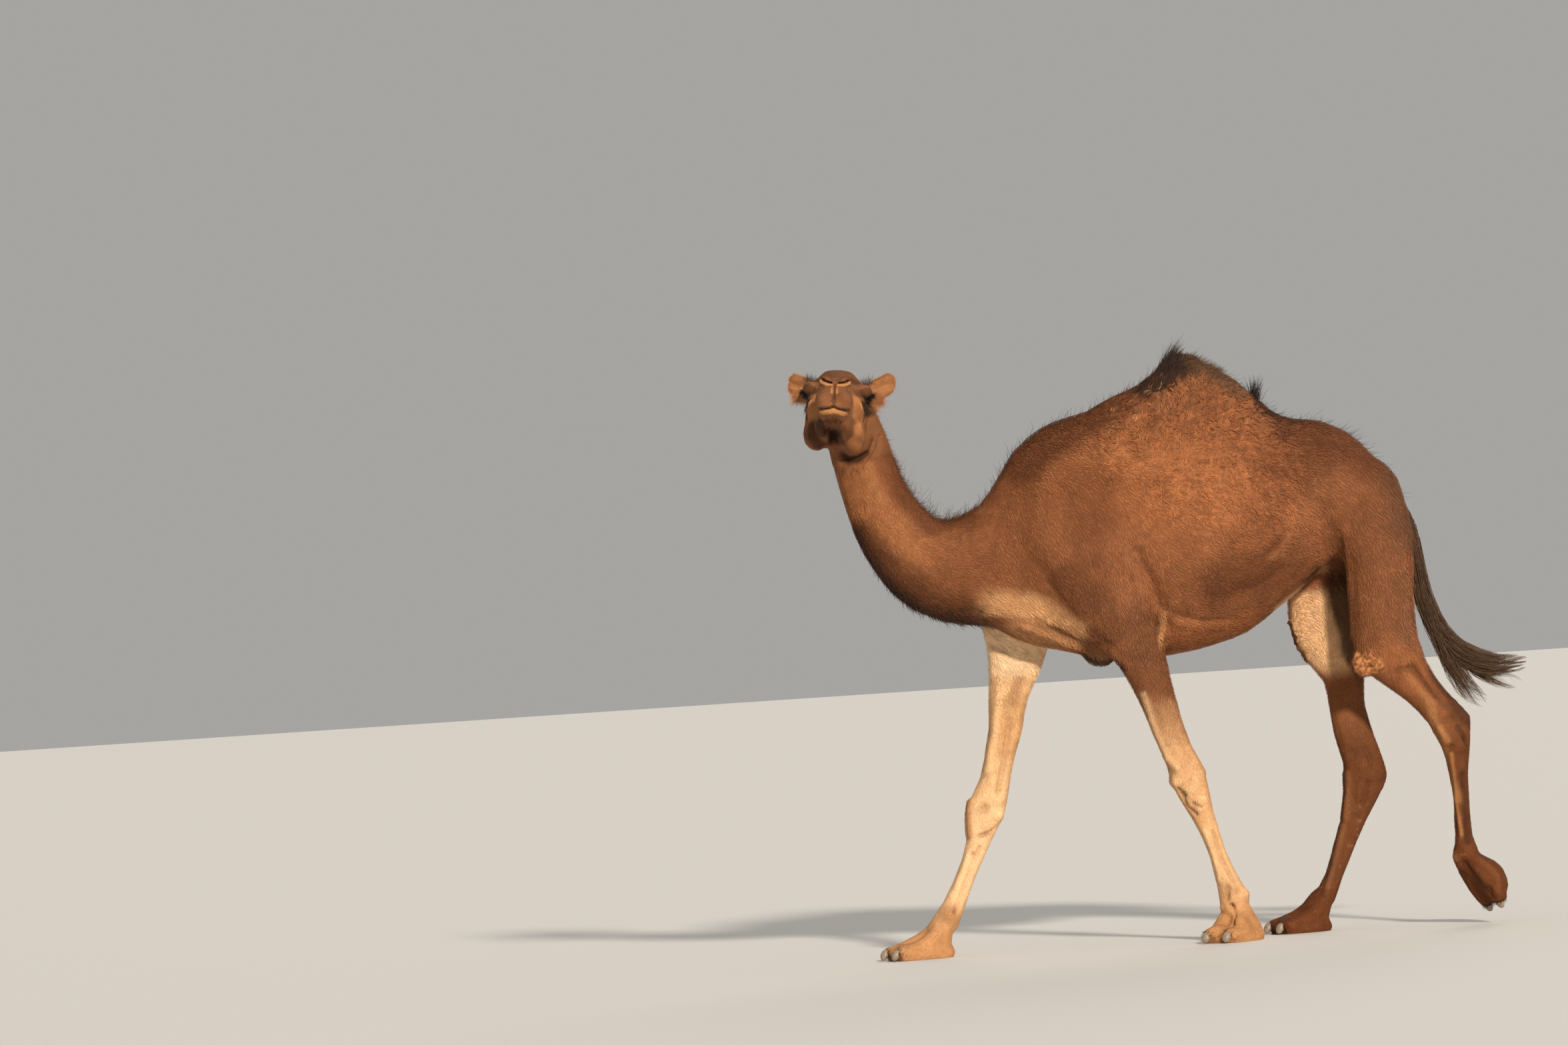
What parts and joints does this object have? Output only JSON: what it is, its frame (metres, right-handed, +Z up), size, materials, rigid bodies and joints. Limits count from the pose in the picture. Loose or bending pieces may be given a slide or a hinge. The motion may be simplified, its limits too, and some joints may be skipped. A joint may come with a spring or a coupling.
{
  "type": "animal model",
  "caption": "Life-size still model of a one-humped camel walking with its head turned to its left, one hind foot lifted, resting on flat soles.",
  "frame": {"origin": "on the floor, under the middle of the bounding box", "axes": "the camel faces -X with its left side toward -Y; +Z is up"},
  "size_m": [2.5616, 0.839, 2.1121],
  "materials": {
    "coat": "short brown fur over skin",
    "pale_coat": "short pale fur over skin",
    "dark_hair": "long dark hair",
    "horn": "satin horn",
    "eye": "wet and glossy"
  },
  "bodies": {
    "root": {"cannon_fore_left": "pale_coat", "cannon_fore_right": "pale_coat", "cannon_hind_left": "coat", "cannon_hind_right": "coat", "ear_left": "coat", "ear_right": "coat", "eye_left": "eye", "eye_right": "eye", "foot_fore_left": "pale_coat", "foot_fore_right": "pale_coat", "foot_hind_left": "coat", "foot_hind_right": "coat", "head": "coat", "hump": "coat", "nail_fore_left_left": "horn", "nail_fore_left_right": "horn", "nail_fore_right_left": "horn", "nail_fore_right_right": "horn", "nail_hind_left_left": "horn", "nail_hind_left_right": "horn", "nail_hind_right_left": "horn", "nail_hind_right_right": "horn", "neck": "coat", "tail": "coat", "tail_brush": "dark_hair", "trunk": "coat", "upper_fore_left": "coat", "upper_fore_right": "pale_coat", "upper_hind_left": "coat", "upper_hind_right": "coat"}
  },
  "joints": []
}
